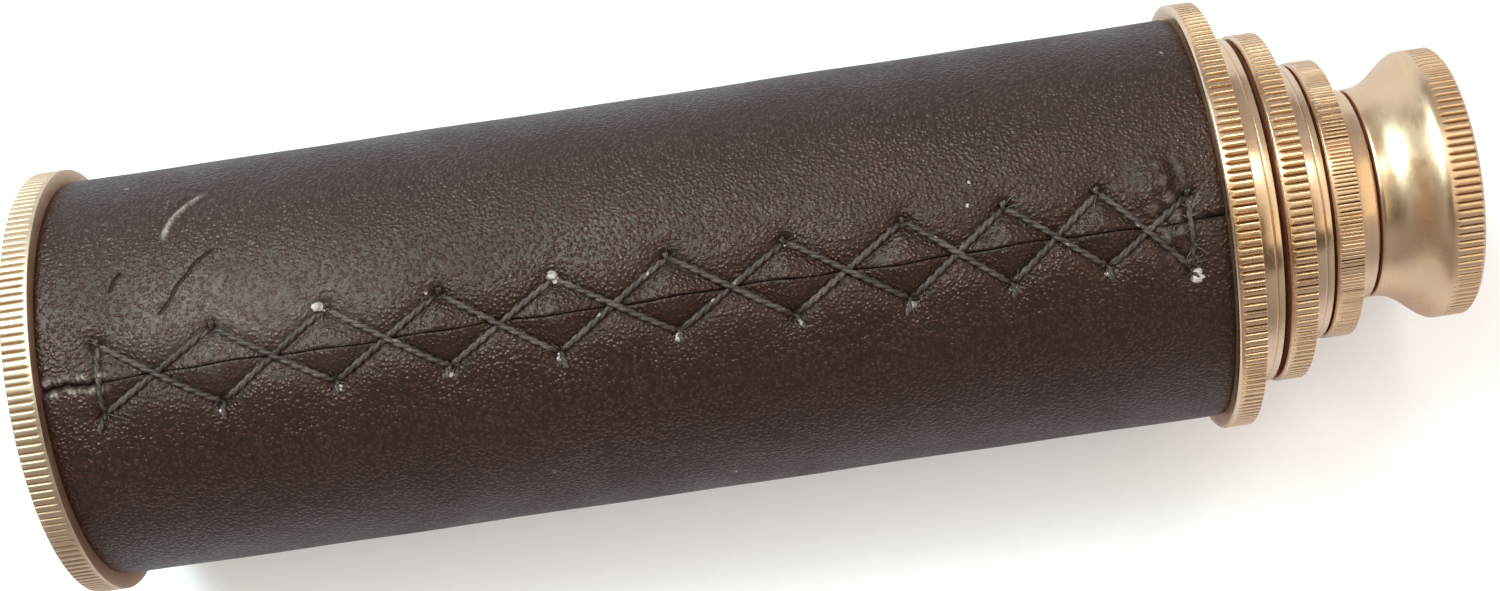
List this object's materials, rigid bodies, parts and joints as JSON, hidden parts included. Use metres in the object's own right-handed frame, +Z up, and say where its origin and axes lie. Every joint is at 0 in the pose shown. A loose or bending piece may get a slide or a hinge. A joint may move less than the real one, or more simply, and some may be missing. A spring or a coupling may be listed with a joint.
{
  "type": "brass telescope",
  "caption": "Hand-held draw telescope: leather-wrapped brass barrel with knurled ends and nested draw tubes that pull out and turn, ending in a flared eyepiece.",
  "frame": {"origin": "on the table, under the middle of the closed telescope as it lies on its two large rings", "axes": "+X along the optical axis towards the eyepiece, +Z up, seam of the leather on top"},
  "size_m": [0.15, 0.046, 0.046],
  "materials": {
    "brass": "polished and lacquered, with light handling marks",
    "blackened_brass": "matt black chemical finish",
    "leather": "fine-grained dark chocolate hide, waxed",
    "waxed_lace": "twisted waxed thread",
    "glass": "polished optical glass"
  },
  "bodies": {
    "barrel": {"objective_bezel": "brass", "objective_crown_lens": "glass", "objective_flint_lens": "glass", "objective_retaining_ring": "blackened_brass", "barrel_tube": "brass", "leather_cover": "leather", "seam_lacing": "waxed_lace", "barrel_collar": "brass"},
    "sleeve_1": {"friction_sleeve_1": "brass"},
    "draw_1": {"draw_tube_1": "brass", "stop_ring_1": "brass", "draw_collar_1": "brass"},
    "sleeve_2": {"friction_sleeve_2": "brass"},
    "draw_2": {"draw_tube_2": "brass", "stop_ring_2": "brass", "draw_collar_2": "brass"},
    "sleeve_3": {"friction_sleeve_3": "brass"},
    "draw_3": {"draw_tube_3": "brass", "stop_ring_3": "brass", "erector_cartridge": "blackened_brass", "erector_front_lens": "glass", "erector_front_retainer": "blackened_brass", "erector_stop": "blackened_brass", "erector_rear_lens": "glass", "erector_rear_retainer": "blackened_brass", "eyepiece_cartridge": "blackened_brass", "field_lens": "glass", "field_lens_retainer": "blackened_brass", "field_stop": "blackened_brass", "eye_lens": "glass", "eye_lens_retainer": "blackened_brass", "eyepiece_bell": "brass"}
  },
  "joints": [
    {"name": "draw_1_turn", "type": "hinge", "parent": "barrel", "child": "sleeve_1", "pos_m": [0.045, 0, 0.023], "axis": [1, 0, 0], "continuous": true},
    {"name": "draw_1_slide", "type": "slide", "parent": "sleeve_1", "child": "draw_1", "axis": [1, 0, 0], "range_m": [0, 0.0845]},
    {"name": "draw_2_turn", "type": "hinge", "parent": "draw_1", "child": "sleeve_2", "pos_m": [0.051, 0, 0.023], "axis": [1, 0, 0], "continuous": true},
    {"name": "draw_2_slide", "type": "slide", "parent": "sleeve_2", "child": "draw_2", "axis": [1, 0, 0], "range_m": [0, 0.0903]},
    {"name": "draw_3_turn", "type": "hinge", "parent": "draw_2", "child": "sleeve_3", "pos_m": [0.057, 0, 0.023], "axis": [1, 0, 0], "continuous": true},
    {"name": "draw_3_slide", "type": "slide", "parent": "sleeve_3", "child": "draw_3", "axis": [1, 0, 0], "range_m": [0, 0.0956]}
  ]
}
